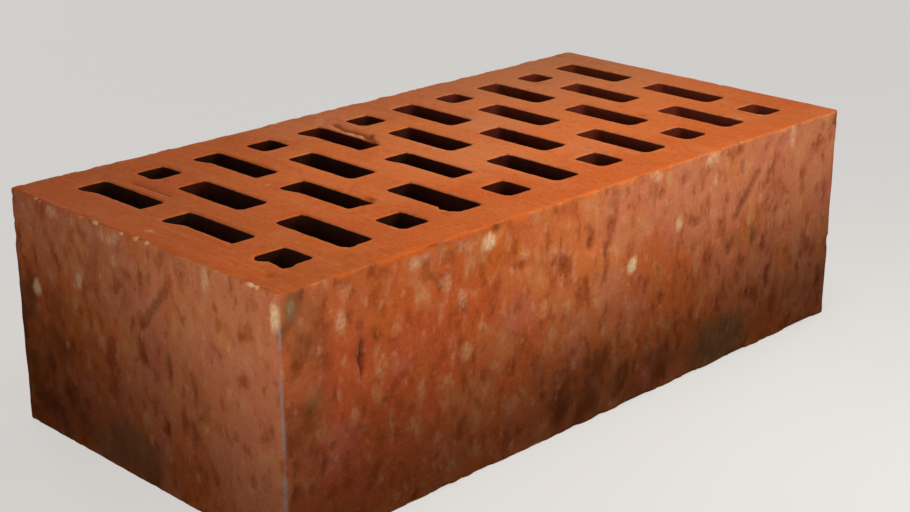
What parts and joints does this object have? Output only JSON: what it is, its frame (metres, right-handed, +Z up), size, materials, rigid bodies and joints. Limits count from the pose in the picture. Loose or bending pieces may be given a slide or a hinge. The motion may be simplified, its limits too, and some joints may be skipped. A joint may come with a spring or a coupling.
{
  "type": "slotted clay brick",
  "caption": "Rectangular fired clay brick with staggered columns of slots running through it from bed to bed, laid in mortar to build walls.",
  "frame": {"origin": "middle of the lower bed, on the surface that the brick lies on", "axes": "+X along the length, +Y across the width away from the front stretcher, +Z up through the slots"},
  "size_m": [0.25, 0.125, 0.075],
  "materials": {
    "fired_clay": "matte, rough fired clay"
  },
  "bodies": {
    "root": {"brick": "fired_clay"}
  },
  "joints": []
}
